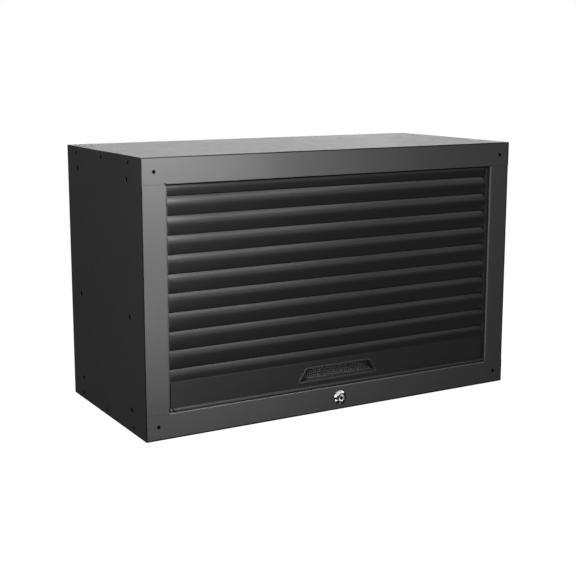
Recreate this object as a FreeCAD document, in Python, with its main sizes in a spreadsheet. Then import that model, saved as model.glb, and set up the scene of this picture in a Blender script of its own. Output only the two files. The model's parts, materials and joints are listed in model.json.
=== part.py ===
import FreeCAD, Part
import math
import os
import Sketcher

# Roll front tool cabinet: a folded steel case with a slatted curtain that runs
# up in side tracks, round a bend and back under the top.
# Millimetres. X is to the right, Y runs from the front to the back, Z is up.
# The origin is the middle of the bottom face.

Vector = FreeCAD.Vector
Rotation = FreeCAD.Rotation
document = FreeCAD.newDocument("RollFrontCabinet")
size_sheet = document.addObject("Spreadsheet::Sheet", "Sizes")
size_names = []
sub_parts = []


def number(thing):
    """The plain number of a size or of a number."""
    return thing.value if isinstance(thing, Size) else thing


def formula(thing):
    """The formula of a size, or a number as text."""
    return thing.text if isinstance(thing, Size) else repr(thing)


class Size:
    """A length that carries its number and its formula in the sheet's names."""

    def __init__(self, value, text):
        self.value = value
        self.text = text

    def __add__(self, other):
        return Size(self.value + number(other), f"({self.text} + {formula(other)})")

    def __radd__(self, other):
        return Size(other + self.value, f"({other!r} + {self.text})")

    def __sub__(self, other):
        return Size(self.value - number(other), f"({self.text} - {formula(other)})")

    def __rsub__(self, other):
        return Size(other - self.value, f"({other!r} - {self.text})")

    def __mul__(self, other):
        return Size(self.value * number(other), f"({self.text} * {formula(other)})")

    def __rmul__(self, other):
        return Size(other * self.value, f"({other!r} * {self.text})")

    def __truediv__(self, other):
        return Size(self.value / number(other), f"({self.text} / {formula(other)})")

    def __neg__(self):
        return Size(-self.value, f"(0 - {self.text})")


def size(name, value):
    """Enter one driving dimension in the sheet under its own name."""
    size_names.append(name)
    row = len(size_names)
    size_sheet.set(f"A{row}", name)
    size_sheet.set(f"B{row}", str(value))
    size_sheet.setAlias(f"B{row}", name)
    return Size(value, f"Sizes.{name}")


# Outside of the case
width = size("width", 680)
depth = size("depth", 310)
height = size("height", 423)

# Sheet metal
panel_sheet = size("panel_sheet", 1.2)
fold_radius = size("fold_radius", 1.1)
sill_fold = size("sill_fold", 1.6)
seam = size("seam", 0.3)
corner_tab = size("corner_tab", 3)
side_flange = size("side_flange", 14)
rear_flange = size("rear_flange", 14)

# Front frame
stile_width = size("stile_width", 37)
top_rail = size("top_rail", 39.8)
bottom_rail = size("bottom_rail", 39.7)
frame_return = size("frame_return", 4)
sill_depth = size("sill_depth", 20)
relief_width = size("relief_width", 3)
relief_height = size("relief_height", 2.2)
tab_overlap = size("tab_overlap", 6)

# Rivets and screws with flush heads
head_radius = size("head_radius", 2.9)
shank_radius = size("shank_radius", 1.6)
tail_radius = size("tail_radius", 2.6)
tail_thickness = size("tail_thickness", 1)
hole_clearance = size("hole_clearance", 0.1)
corner_rivet_inset = size("corner_rivet_inset", 19.5)
corner_rivet_rise = size("corner_rivet_rise", 21)
side_rivet_inset = size("side_rivet_inset", 10)
side_rivet_front = size("side_rivet_front", 49.5)
side_rivet_rear = size("side_rivet_rear", 42)

# Holes that join one cabinet to the next, and holes for a wall
joining_radius = size("joining_radius", 4.2)
joining_front = size("joining_front", 56.5)
joining_rear = size("joining_rear", 45.5)
joining_low = size("joining_low", 36)
joining_high = size("joining_high", 36)
joining_middle = size("joining_middle", 180.2)
wall_hole_radius = size("wall_hole_radius", 4)
wall_hole_side = size("wall_hole_side", 60)
wall_hole_edge = size("wall_hole_edge", 60)

# Curtain slats
slat_pitch = size("slat_pitch", 29)
slat_sheet = size("slat_sheet", 0.9)
slat_edge = size("slat_edge", 3.3)
slat_drop = size("slat_drop", 3.4)
slat_skirt = size("slat_skirt", 2.8)
crown_radius = size("crown_radius", 27)
bead_radius = size("bead_radius", 2)
hook_clearance = size("hook_clearance", 0.4)
hook_mouth = size("hook_mouth", 1)

# Tracks and rollers
mouth_inset = size("mouth_inset", 5)
knuckle_depth = size("knuckle_depth", 14)
channel_depth = size("channel_depth", 9)
track_wall = size("track_wall", 1.6)
track_top_gap = size("track_top_gap", 2)
bend_radius = size("bend_radius", 40)
track_back_gap = size("track_back_gap", 0.3)
parked_gap = size("parked_gap", 12)
roller_radius = size("roller_radius", 4.5)
roller_clearance = size("roller_clearance", 0.2)
roller_gap = size("roller_gap", 0.5)
pin_radius = size("pin_radius", 1)
pin_clearance = size("pin_clearance", 0.05)
pin_length = size("pin_length", 8)
slat_end_gap = size("slat_end_gap", 0.5)
bracket_sheet = size("bracket_sheet", 1.5)
bracket_length = size("bracket_length", 30)
bracket_foot = size("bracket_foot", 18)

# Bottom bar of the curtain
bar_low = size("bar_low", 40.9)
bar_high = size("bar_high", 83.5)
bar_depth = size("bar_depth", 5.7)
bar_knuckle = size("bar_knuckle", 77.7)
bar_end_gap = size("bar_end_gap", 0.7)
bar_flange = size("bar_flange", 27)
bar_upturn = size("bar_upturn", 10)
lip_proud = size("lip_proud", 4.7)
lip_height = size("lip_height", 4.7)
lip_top_radius = size("lip_top_radius", 3)
lip_low_radius = size("lip_low_radius", 1)
lip_end_gap = size("lip_end_gap", 2.6)
lip_cut_width = size("lip_cut_width", 2.2)
lip_cut_high = size("lip_cut_high", 2.4)
lip_cut_low = size("lip_cut_low", 8.5)
seal_depth = size("seal_depth", 10)
seal_gap = size("seal_gap", 0.3)
seal_end_gap = size("seal_end_gap", 5)
shoe_height = size("shoe_height", 25)
shoe_tongue = size("shoe_tongue", 12)

# Pull cup in the bar
grip_low = size("grip_low", 52.4)
grip_high = size("grip_high", 74.9)
grip_low_half = size("grip_low_half", 76)
grip_high_half = size("grip_high_half", 60)
grip_recess = size("grip_recess", 15)
grip_wall = size("grip_wall", 1)
grip_rim = size("grip_rim", 1.4)
grip_rim_proud = size("grip_rim_proud", 0.8)
grip_corner = size("grip_corner", 2.5)

# Lock
lock_height = size("lock_height", 20)
bezel_radius = size("bezel_radius", 11)
bezel_edge = size("bezel_edge", 0.8)
bezel_proud = size("bezel_proud", 3)
bezel_face = size("bezel_face", 7.4)
bezel_dome = size("bezel_dome", 6)
barrel_radius = size("barrel_radius", 9.5)
barrel_length = size("barrel_length", 20.4)
plug_radius = size("plug_radius", 5.95)
plug_proud = size("plug_proud", 4.6)
key_slot_width = size("key_slot_width", 2.2)
key_slot_height = size("key_slot_height", 6.6)
key_slot_depth = size("key_slot_depth", 9)
nut_radius = size("nut_radius", 13)
nut_thickness = size("nut_thickness", 4)
cam_gap = size("cam_gap", 0.3)
cam_thickness = size("cam_thickness", 2)
cam_hub = size("cam_hub", 8)
cam_square = size("cam_square", 6)
cam_arm_width = size("cam_arm_width", 7)
cam_hook_width = size("cam_hook_width", 3.2)
cam_hook_gap = size("cam_hook_gap", 0.9)
cam_slot_near = size("cam_slot_near", 4.2)
cam_slot_far = size("cam_slot_far", 20.5)
cam_slot_gap = size("cam_slot_gap", 0.8)
cam_screw_head = size("cam_screw_head", 4.6)
cam_screw_length = size("cam_screw_length", 8)
cut_over = size("cut_over", 1)

document.recompute()

# Places worked out from the sizes
half_width = width / 2
front = -depth / 2
back = depth / 2
side_inside = half_width - panel_sheet
opening_half = half_width - stile_width
opening_high = height - top_rail
track_mouth = opening_half - mouth_inset
hook_inner = bead_radius + hook_clearance
hook_outer = hook_inner + slat_sheet
channel_half = roller_radius + roller_clearance
track_half = channel_half + track_wall
track_web = track_mouth + channel_depth
track_outside = track_web + track_wall
knuckle_y = front + knuckle_depth
run_level = height - panel_sheet - track_top_gap - track_half
bend_level = run_level - bend_radius
bend_y = knuckle_y + bend_radius
travel = bend_level - bar_knuckle - parked_gap
slat_half = track_mouth - slat_end_gap
slat_count = math.ceil((opening_high - bar_knuckle).value / slat_pitch.value)
quarter_turn = math.pi / 2
track_end = back - panel_sheet * 2 - track_back_gap
run_length = track_end - track_wall - bend_y
bar_half = track_mouth - bar_end_gap
bar_front = front + bar_depth
barrel_back = front + barrel_length
cam_front = barrel_back + cam_gap
cam_back = cam_front + cam_thickness
cam_hook_inner = bar_low + panel_sheet + cam_hook_gap - lock_height
cam_hook_outer = cam_hook_inner + cam_hook_width
cam_arm = cam_hook_inner + cam_hook_width / 2


# Sketches, pads and pockets
plane_roles = {"XY": "XY_Plane", "YZ": "YZ_Plane", "XZ": "XZ_Plane"}
plane_signs = {"XY": 1, "YZ": 1, "XZ": -1}


def arc_geometry(start, end, radius, turn):
    """The arc under half a circle from start to end that turns left or right.

    Its centre stands off the chord's middle, on the side that it turns to.
    """
    middle = (start + end) * 0.5
    chord = end - start
    stand_off = math.sqrt(radius ** 2 - (chord.Length / 2) ** 2)
    left = Vector(-chord.y, chord.x, 0).normalize()
    centre = middle + left * (stand_off if turn == "left" else -stand_off)
    first, last = (start, end) if turn == "left" else (end, start)
    angles = [math.atan2(p.y - centre.y, p.x - centre.x) for p in (first, last)]
    if angles[1] < angles[0]:
        angles[1] += 2 * math.pi
    circle = Part.Circle(centre, Vector(0, 0, 1), radius)
    return Part.ArcOfCircle(circle, angles[0], angles[1])


def draw(body, name, plane, outlines, start):
    """A sketch on one of the body's own planes, moved along its normal to start.

    An outline is a list of corners (x, y), or (x, y, radius, turn) where an arc
    leads to the next corner, or one circle as (x, y, radius).
    """
    sketch = body.newObject("Sketcher::SketchObject", name)
    role = plane_roles[plane]
    support = [f for f in body.Origin.OriginFeatures if f.Role == role][0]
    sketch.AttachmentSupport = [(support, "")]
    sketch.MapMode = "FlatFace"
    rules = []
    bound = []

    def fix(kind, geometry, point, value):
        rules.append(Sketcher.Constraint(kind, -1, 1, geometry, point, number(value)))
        bound.append((len(rules) - 1, formula(value)))

    def fix_radius(geometry, value):
        rules.append(Sketcher.Constraint("Radius", geometry, number(value)))
        bound.append((len(rules) - 1, formula(value)))

    for outline in outlines:
        if isinstance(outline, tuple):
            x, y, radius = outline
            circle = Part.Circle(Vector(number(x), number(y), 0), Vector(0, 0, 1),
                                 number(radius))
            index = sketch.addGeometry(circle, False)
            fix("DistanceX", index, 3, x)
            fix("DistanceY", index, 3, y)
            fix_radius(index, radius)
            continue
        ends = []
        for corner, following in zip(outline, outline[1:] + outline[:1]):
            begin = Vector(number(corner[0]), number(corner[1]), 0)
            finish = Vector(number(following[0]), number(following[1]), 0)
            if len(corner) == 2:
                index = sketch.addGeometry(Part.LineSegment(begin, finish), False)
                ends.append((index, 1, 2))
            else:
                radius, turn = corner[2:]
                arc = arc_geometry(begin, finish, number(radius), turn)
                index = sketch.addGeometry(arc, False)
                ends.append((index, 1, 2) if turn == "left" else (index, 2, 1))
                fix_radius(index, radius)
        for (index, begin, finish), (later, later_begin, _), corner in zip(
                ends, ends[1:] + ends[:1], outline):
            rules.append(Sketcher.Constraint("Coincident", index, finish,
                                             later, later_begin))
            fix("DistanceX", index, begin, corner[0])
            fix("DistanceY", index, begin, corner[1])
    sketch.addConstraint(rules)
    for index, text in bound:
        sketch.setExpression(f"Constraints[{index}]", text)
    offset = start * plane_signs[plane]
    sketch.AttachmentOffset = FreeCAD.Placement(Vector(0, 0, number(offset)), Rotation())
    if isinstance(offset, Size):
        sketch.setExpression("AttachmentOffset.Base.z", offset.text)
    return sketch


def pad(body, name, plane, outlines, start, length):
    """Add material from start, length long, along the plane's axis."""
    sketch = draw(body, name + "Sketch", plane, outlines, start)
    feature = body.newObject("PartDesign::Pad", name)
    feature.Profile = sketch
    feature.setExpression("Length", formula(length))
    feature.Reversed = plane_signs[plane] < 0
    return feature


def pocket(body, name, plane, outlines, start, length):
    """Take material from start, length long, along the plane's axis."""
    sketch = draw(body, name + "Sketch", plane, outlines, start)
    feature = body.newObject("PartDesign::Pocket", name)
    feature.Profile = sketch
    feature.setExpression("Length", formula(length))
    feature.Reversed = plane_signs[plane] > 0
    return feature


def rectangle(x0, x1, y0, y1):
    """The outline of a rectangle between two corners."""
    return [(x0, y0), (x1, y0), (x1, y1), (x0, y1)]


def edge_ends(edge):
    """The points at an edge's two ends."""
    return [edge.valueAt(edge.FirstParameter), edge.valueAt(edge.LastParameter)]


def edges_where(feature, test, along):
    """The names of a feature's straight edges along an axis whose ends pass a test."""
    names = []
    for index, edge in enumerate(feature.Shape.Edges, 1):
        if edge.Curve.TypeId != "Part::GeomLine":
            continue
        first, last = edge_ends(edge)
        if abs(getattr(last - first, along)) < edge.Length - near_enough:
            continue
        if test(first) and test(last):
            names.append(f"Edge{index}")
    return names


def near(value, wanted):
    """True where a coordinate is at a named place."""
    return abs(value - number(wanted)) < near_enough


near_enough = (seam / 10).value


def round_over(body, name, radius, along, test):
    """Round the body's straight edges along an axis whose ends pass a test."""
    document.recompute()
    base = body.Tip
    feature = body.newObject("PartDesign::Fillet", name)
    feature.Base = (base, edges_where(base, test, along))
    feature.setExpression("Radius", formula(radius))
    return feature


def new_body(name):
    """A body for one sub-part."""
    return document.addObject("PartDesign::Body", name)


def keep(thing, label):
    """Name a finished sub-part."""
    thing.Label = label
    sub_parts.append(thing)
    return thing


# Primitives and booleans
turns = {
    "z": Rotation(),
    "x": Rotation(Vector(0, 1, 0), 90),
    "-x": Rotation(Vector(0, 1, 0), -90),
    "y": Rotation(Vector(1, 0, 0), -90),
    "-y": Rotation(Vector(1, 0, 0), 90),
}


def place(thing, x, y, z, axis="z"):
    """Put a primitive at a place given in sizes, its own Z along an axis."""
    thing.Placement = FreeCAD.Placement(Vector(number(x), number(y), number(z)),
                                        turns[axis])
    for letter, value in (("x", x), ("y", y), ("z", z)):
        if isinstance(value, Size):
            thing.setExpression(f"Placement.Base.{letter}", value.text)
    return thing


def bind(thing, **values):
    """Tie a primitive's own sizes to the sheet."""
    for prop, value in values.items():
        setattr(thing, prop, number(value))
        if isinstance(value, Size):
            thing.setExpression(prop, value.text)
    return thing


def box(x0, x1, y0, y1, z0, z1):
    """A block between two corners."""
    thing = document.addObject("Part::Box", "Block")
    bind(thing, Length=x1 - x0, Width=y1 - y0, Height=z1 - z0)
    return place(thing, x0, y0, z0)


def cylinder(radius, length, x, y, z, axis):
    """A round bar from a place along an axis."""
    thing = document.addObject("Part::Cylinder", "Round")
    bind(thing, Radius=radius, Height=length)
    return place(thing, x, y, z, axis)


def cone(radius, end_radius, length, x, y, z, axis):
    """A tapered bar from a place along an axis."""
    thing = document.addObject("Part::Cone", "Taper")
    bind(thing, Radius1=radius, Radius2=end_radius, Height=length)
    return place(thing, x, y, z, axis)


def fused(things, name="Fused"):
    """One solid from touching or overlapping ones."""
    thing = document.addObject("Part::MultiFuse", name)
    thing.Shapes = things
    thing.Refine = True
    return thing


def cut(base, tools, name="Cut"):
    """A base with tools taken from it."""
    thing = document.addObject("Part::Cut", name)
    thing.Base = base
    thing.Tool = tools[0] if len(tools) == 1 else group(tools, name + "Tools")
    return thing


def group(things, name):
    """Separate solids that make one sub-part, or tools that cut together."""
    thing = document.addObject("Part::Compound", name)
    thing.Links = things
    return thing


def flush_fastener(x, y, z, axis, outer_sheet, inner_sheet):
    """A flush head tapering through the outer sheet, a shank and a formed tail.

    The place is on the outer face, and the axis points into the case.
    """
    step = Vector(*turns[axis].multVec(Vector(0, 0, 1)))
    signs = [round(step.x), round(step.y), round(step.z)]

    def along(distance):
        return [start + distance * sign for start, sign in zip((x, y, z), signs)]

    both = outer_sheet + inner_sheet
    return fused([
        cone(head_radius, shank_radius, outer_sheet, x, y, z, axis),
        cylinder(shank_radius, inner_sheet, *along(outer_sheet), axis),
        cylinder(tail_radius, tail_thickness, *along(both), axis),
    ], "Fastener")


def flush_holes(places, axis, outer_sheet):
    """Tapered holes for flush heads in the outer sheet."""
    wide = head_radius + hole_clearance
    narrow = shank_radius + hole_clearance
    return [cone(wide, narrow, outer_sheet, *at, axis) for at in places]


def shank_holes(places, axis):
    """Plain holes for shanks, started one overrun outside and two overruns deep."""
    signs = {"y": (0, 1, 0), "-y": (0, -1, 0), "x": (1, 0, 0), "-x": (-1, 0, 0)}[axis]
    radius = shank_radius + hole_clearance
    length = panel_sheet * 2 + cut_over * 2
    holes = []
    for at in places:
        begin = [start - cut_over * sign for start, sign in zip(at, signs)]
        holes.append(cylinder(radius, length, *begin, axis))
    return holes


# Places of the fasteners
side_names = {-1: "left", 1: "right"}
inward = {-1: "x", 1: "-x"}
corner_columns = [(half_width - corner_rivet_inset) * side for side in (-1, 1)]
corner_rows = [corner_rivet_rise, height - corner_rivet_rise]
corner_places = {
    "bottom": [(x, front, corner_rows[0]) for x in corner_columns],
    "top": [(x, front, corner_rows[1]) for x in corner_columns],
}
side_rivet_span = depth - side_rivet_front - side_rivet_rear
side_rivet_shares = (0, 0.5, 1)
side_rivet_columns = [front + side_rivet_front + side_rivet_span * share
                      for share in side_rivet_shares]
back_row_shares = (0.12, 0.37, 0.63, 0.88)
back_column_shares = (-0.6, 0, 0.6)


def side_rivet_places(side, z):
    """The rivets of one row in one side panel, on its outer face."""
    return [(half_width * side, y, z) for y in side_rivet_columns]


def back_side_places(side):
    """The back panel's rivets in one side panel's rear flange."""
    x = (half_width - rear_flange / 2) * side
    return [(x, back, height * share) for share in back_row_shares]


def back_row_places(z):
    """The back panel's rivets in the top or bottom panel's rear flange."""
    return [(half_width * share, back, z) for share in back_column_shares]


def end_panel(name, rail, at_top):
    """The top or bottom panel: sheet, front rail, side flanges and rear flange."""

    def level(z):
        return height - z if at_top else z

    body = new_body(name + "Body")
    hook = [(front, level(0)), (front + corner_tab, level(0)),
            (front + corner_tab, level(panel_sheet)),
            (front + panel_sheet, level(panel_sheet)),
            (front + panel_sheet, level(rail)), (front, level(rail))]
    pad(body, "Rail", "YZ", [hook], -half_width, width)
    pad(body, "Sheet", "YZ", [rectangle(front + panel_sheet, back, level(0),
                                        level(panel_sheet))],
        -side_inside, side_inside * 2)
    return_half = opening_half - seam
    pad(body, "Return", "YZ", [rectangle(front, front + frame_return, level(rail),
                                         level(rail - panel_sheet))],
        -return_half, return_half * 2)
    if not at_top:
        sill_half = track_mouth - corner_tab
        pad(body, "Sill", "YZ", [rectangle(front + panel_sheet, front + sill_depth,
                                           level(rail), level(rail - panel_sheet))],
            -sill_half, sill_half * 2)
    flange = rectangle(front + panel_sheet * 2 + seam, back - panel_sheet * 2 - seam,
                       level(0), level(side_flange))
    pad(body, "LeftFlange", "YZ", [flange], -side_inside, panel_sheet)
    pad(body, "RightFlange", "YZ", [flange], side_inside - panel_sheet, panel_sheet)
    rear_half = half_width - rear_flange - seam
    pad(body, "RearFlange", "YZ", [rectangle(back - panel_sheet, back, level(0),
                                             level(rear_flange))],
        -rear_half, rear_half * 2)
    notches = [rectangle(return_half * side, (opening_half + relief_width) * side,
                         level(rail + cut_over), level(rail - relief_height))
               for side in (-1, 1)]
    pocket(body, "Relief", "XZ", notches, front - cut_over, panel_sheet + cut_over * 2)
    round_over(body, "Fold", fold_radius, "x",
               lambda p: near(p.y, front) and near(p.z, level(0)))
    round_over(body, "OpeningFold", fold_radius if at_top else sill_fold, "x",
               lambda p: near(p.y, front) and near(p.z, level(rail))
               and abs(p.x) < number(opening_half))
    tools = flush_holes(corner_places["top" if at_top else "bottom"], "y", panel_sheet)
    for side in (-1, 1):
        tools += shank_holes(side_rivet_places(side, level(side_rivet_inset)),
                             inward[side])
    tools += flush_holes(back_row_places(level(rear_flange / 2)), "-y", panel_sheet)
    if not at_top:
        tools.append(cylinder(barrel_radius + hole_clearance,
                              panel_sheet + cut_over * 2, 0, front - cut_over,
                              lock_height, "y"))
    return keep(cut(body, tools, name + "Cut"), name)


def side_panel(side):
    """One side panel: side sheet, front stile with its return, and rear flange."""
    body = new_body(side_names[side] + "SideBody")
    joint = corner_tab + seam + panel_sheet
    stile = [(half_width, front), (half_width, front + joint),
             (side_inside, front + joint), (side_inside, front + panel_sheet),
             (opening_half + panel_sheet, front + panel_sheet),
             (opening_half + panel_sheet, front + frame_return),
             (opening_half, front + frame_return), (opening_half, front)]
    stile = [(x * side, y) for x, y in stile]
    stile_low = bottom_rail + seam
    stile_high = opening_high - seam
    pad(body, "Stile", "XY", [stile], stile_low, stile_high - stile_low)
    pad(body, "SideSheet", "XY", [rectangle(side_inside * side, half_width * side,
                                            front + corner_tab + seam, back)], 0, height)
    flange_low = panel_sheet + seam
    pad(body, "RearFlange", "XY", [rectangle((half_width - rear_flange) * side,
                                             half_width * side, back - panel_sheet,
                                             back)],
        flange_low, height - flange_low * 2)
    tab = rectangle((opening_half + panel_sheet) * side, side_inside * side,
                    front + panel_sheet, front + panel_sheet * 2)
    pad(body, "LowerTab", "XY", [tab], flange_low, bottom_rail + tab_overlap - flange_low)
    pad(body, "UpperTab", "XY", [tab], opening_high - tab_overlap,
        top_rail + tab_overlap - flange_low)
    round_over(body, "Fold", fold_radius, "z",
               lambda p: near(p.y, front) and near(p.x, half_width * side))
    round_over(body, "OpeningFold", fold_radius / 2, "z",
               lambda p: near(p.y, front) and near(p.x, opening_half * side))
    tools = shank_holes(corner_places["bottom"] + corner_places["top"], "y")
    rows = (side_rivet_inset, height - side_rivet_inset)
    for row in rows:
        tools += flush_holes(side_rivet_places(side, row), inward[side], panel_sheet)
    tools += flush_holes(back_side_places(side), "-y", panel_sheet)
    outside = (half_width + cut_over) * side
    for y in (front + joining_front, back - joining_rear):
        for z in (joining_low, joining_middle, height - joining_high):
            tools.append(cylinder(joining_radius, panel_sheet + cut_over * 2,
                                  outside, y, z, inward[side]))
    name = side_names[side] + "_side_panel"
    return keep(cut(body, tools, name + "Cut"), name)


def back_panel():
    """The back sheet, held inside the rear flanges, with four wall holes."""
    body = new_body("BackBody")
    half = side_inside - seam
    low = panel_sheet + seam
    inside = back - panel_sheet * 2
    pad(body, "Sheet", "XZ", [rectangle(-half, half, low, height - low)],
        inside, panel_sheet)
    tools = []
    for places in (back_side_places(-1), back_side_places(1),
                   back_row_places(rear_flange / 2),
                   back_row_places(height - rear_flange / 2)):
        tools += shank_holes(places, "-y")
    for x in (wall_hole_side - half_width, half_width - wall_hole_side):
        for z in (wall_hole_edge, height - wall_hole_edge):
            tools.append(cylinder(wall_hole_radius, panel_sheet + cut_over * 2,
                                  x, inside - cut_over, z, "y"))
    return keep(cut(body, tools, "BackCut"), "back_panel")


def band(half, low, end):
    """The track's side view as a band about its middle line.

    It runs up from low, turns through the bend and runs back to end.
    """
    return [(knuckle_y - half, low),
            (knuckle_y - half, bend_level, bend_radius + half, "right"),
            (bend_y, run_level + half), (end, run_level + half),
            (end, run_level - half),
            (bend_y, run_level - half, bend_radius - half, "left"),
            (knuckle_y + half, bend_level), (knuckle_y + half, low)]


def track_screw_places(side):
    """Where the track's screws sit, on the inside face of its web."""
    x = track_web * side
    return [(x, knuckle_y, z) for z in bracket_levels] + [(x, bracket_run_y, run_level)]


bracket_shares = (0.12, 0.82)
bracket_levels = [panel_sheet + (bend_level - panel_sheet) * share
                  for share in bracket_shares]
bracket_run_share = 0.6
bracket_run_y = bend_y + run_length * bracket_run_share
outward = {-1: "-x", 1: "x"}


def track(side):
    """One side track: a U channel that opens towards the curtain."""
    body = new_body(side_names[side] + "TrackBody")
    foot = panel_sheet + seam
    block = track_outside - track_mouth
    start = track_mouth if side > 0 else -track_outside
    pad(body, "Band", "YZ", [band(track_half, panel_sheet, track_end)], start, block)
    start = track_mouth if side > 0 else -track_web
    pocket(body, "Channel", "YZ",
           [band(channel_half, foot + track_wall, track_end - track_wall)],
           start, channel_depth)
    name = side_names[side] + "_track"
    tools = flush_holes(track_screw_places(side), outward[side], track_wall)
    return keep(cut(body, tools, name + "Cut"), name)


def brackets(side):
    """Three folded brackets that carry one track on the side panel."""
    middle = bracket_length / 2
    foot_inside = side_inside - bracket_sheet
    leg_outside = track_outside + bracket_sheet
    made = []

    def across(x0, x1, *rest):
        ends = (x0, x1) if side > 0 else (-x1, -x0)
        return box(*ends, *rest)

    for z in bracket_levels:
        low, high = z - middle, z + middle
        rear = knuckle_y + track_half
        made.append(fused([
            across(track_outside, leg_outside, knuckle_y - track_half, rear, low, high),
            across(track_outside, side_inside, rear - bracket_sheet, rear, low, high),
            across(foot_inside, side_inside, rear - bracket_sheet, rear + bracket_foot,
                   low, high),
        ], "Bracket"))
    near_side, far_side = bracket_run_y - middle, bracket_run_y + middle
    under = run_level - track_half
    made.append(fused([
        across(track_outside, leg_outside, near_side, far_side,
               under - bracket_sheet, run_level + track_half),
        across(track_outside, side_inside, near_side, far_side,
               under - bracket_sheet, under),
        across(foot_inside, side_inside, near_side, far_side,
               under - bracket_foot, under),
    ], "Bracket"))
    name = side_names[side] + "_track_brackets"
    drilled = []
    axis = outward[side]
    radius = shank_radius + hole_clearance
    for bracket, (x, y, z) in zip(made, track_screw_places(side)):
        hole = cylinder(radius, track_wall + bracket_sheet + cut_over, x, y, z, axis)
        drilled.append(cut(bracket, [hole], "Drilled"))
    return keep(group(drilled, name), name)


def track_screws(side):
    """The flush screws that hold one track to its brackets."""
    made = [flush_fastener(*at, outward[side], track_wall, bracket_sheet)
            for at in track_screw_places(side)]
    name = side_names[side] + "_track_screws"
    return keep(group(made, name), name)


def rivets():
    """The flush rivets of the frame's corners, the sides and the back."""
    corner = [flush_fastener(*at, "y", panel_sheet, panel_sheet)
              for at in corner_places["bottom"] + corner_places["top"]]
    keep(group(corner, "CornerRivets"), "corner_rivets")
    for side in (-1, 1):
        made = []
        for row in (side_rivet_inset, height - side_rivet_inset):
            made += [flush_fastener(*at, inward[side], panel_sheet, panel_sheet)
                     for at in side_rivet_places(side, row)]
        name = side_names[side] + "_side_rivets"
        keep(group(made, name), name)
    places = (back_side_places(-1) + back_side_places(1)
              + back_row_places(rear_flange / 2)
              + back_row_places(height - rear_flange / 2))
    made = [flush_fastener(*at, "-y", panel_sheet, panel_sheet) for at in places]
    keep(group(made, "BackRivets"), "back_rivets")


# The curtain's line through the tracks
def line_point(run):
    """The middle line's (y, z) after a length of it, from the bar's closed knuckle.

    It goes straight up to the bend, round a quarter circle, then straight back.
    """
    rise = (bend_level - bar_knuckle).value
    radius = bend_radius.value
    if run < rise:
        return knuckle_y.value, bar_knuckle.value + run
    turned = (run - rise) / radius
    if turned < quarter_turn:
        return (bend_y.value - radius * math.cos(turned),
                bend_level.value + radius * math.sin(turned))
    return bend_y.value + run - rise - radius * quarter_turn, run_level.value


def knuckle_points():
    """The knuckles of the closed curtain from the bar up, one pitch apart.

    Each next one is found by halving the stretch of line that holds it.
    """
    halvings = 50
    run = 0.0
    points = [line_point(run)]
    for _ in range(slat_count):
        near_run, far_run = run, run + 2 * slat_pitch.value
        for _ in range(halvings):
            run = (near_run + far_run) / 2
            if math.dist(line_point(run), points[-1]) < slat_pitch.value:
                near_run = run
            else:
                far_run = run
        points.append(line_point(run))
    return points


def slat_section(body):
    """A slat's section: convex crown, knuckle bead above, open hook below.

    Its own origin is the middle of the bead, and its front is towards -Y.
    """
    across = slat_half * 2
    top = -slat_drop
    low = -slat_pitch - slat_skirt
    crown = [(-slat_edge, top, crown_radius, "left"), (-slat_edge, low),
             (slat_sheet - slat_edge, low, crown_radius, "right"),
             (slat_sheet - slat_edge, top)]
    pad(body, "Crown", "YZ", [crown], -slat_half, across)
    half = slat_sheet / 2
    neck = [(-slat_edge, top - slat_sheet), (half, top - slat_sheet),
            (half, -bead_radius / 2), (-half, -bead_radius / 2), (-half, top),
            (-slat_edge, top)]
    pad(body, "Neck", "YZ", [neck], -slat_half, across)
    pad(body, "Bead", "YZ", [(0, 0, bead_radius)], -slat_half, across)
    pad(body, "Hook", "YZ", [(0, -slat_pitch, hook_outer), (0, -slat_pitch, hook_inner)],
        -slat_half, across)
    pad(body, "Web", "YZ", [rectangle(-slat_edge - half, -hook_inner,
                                      -slat_pitch - hook_outer / 2,
                                      -slat_pitch - hook_clearance)],
        -slat_half, across)
    mouth = rectangle(-hook_inner, hook_outer + cut_over,
                      -slat_pitch - hook_outer - cut_over, -slat_pitch - hook_mouth)
    pocket(body, "Mouth", "YZ", [mouth], -slat_half - cut_over, across + cut_over * 2)
    hole = pin_radius + pin_clearance
    for name, start in (("LeftPinHole", -slat_half), ("RightPinHole", slat_half
                                                      - pin_length)):
        pocket(body, name, "YZ", [(0, 0, hole)], start, pin_length)


def slats_and_rollers():
    """Every slat, and the pair of rollers whose pins turn in its bead."""
    points = knuckle_points()
    for index in range(slat_count):
        order = slat_count - index
        (low_y, low_z), (y, z) = points[index], points[index + 1]
        tilt = math.degrees(math.atan2(y - low_y, z - low_z))
        body = new_body(f"Slat{order:02d}Body")
        slat_section(body)
        body.Placement = FreeCAD.Placement(Vector(0, y, z),
                                           Rotation(Vector(1, 0, 0), -tilt))
        keep(body, f"slat_{order:02d}")
        pair = []
        for side in (-1, 1):
            pin_start = (slat_half - pin_length + seam) * side
            roller_start = (track_mouth + roller_gap) * side
            pin = cylinder(pin_radius, slat_end_gap + roller_gap + pin_length - seam,
                           pin_start, y, z, outward[side])
            roller = cylinder(roller_radius, channel_depth - roller_gap * 2,
                              roller_start, y, z, outward[side])
            pair.append(fused([pin, roller], "Roller"))
        keep(group(pair, f"RollerPair{order:02d}"), f"roller_pair_{order:02d}")


# The pull cup's outline, drawn once for the bar, the rim and the cup
grip_slope = ((grip_low_half - grip_high_half) / (grip_high - grip_low)).value
grip_slant = math.sqrt(1 + grip_slope ** 2)


def grip_outline(grow):
    """The cup's trapezoid, moved out on all four sides by the same distance."""
    low, high = grip_low - grow, grip_high + grow
    low_half = grip_low_half + grow * grip_slant + grow * grip_slope
    high_half = grip_high_half + grow * grip_slant - grow * grip_slope
    return [(-low_half, low), (low_half, low), (high_half, high), (-high_half, high)]


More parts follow.
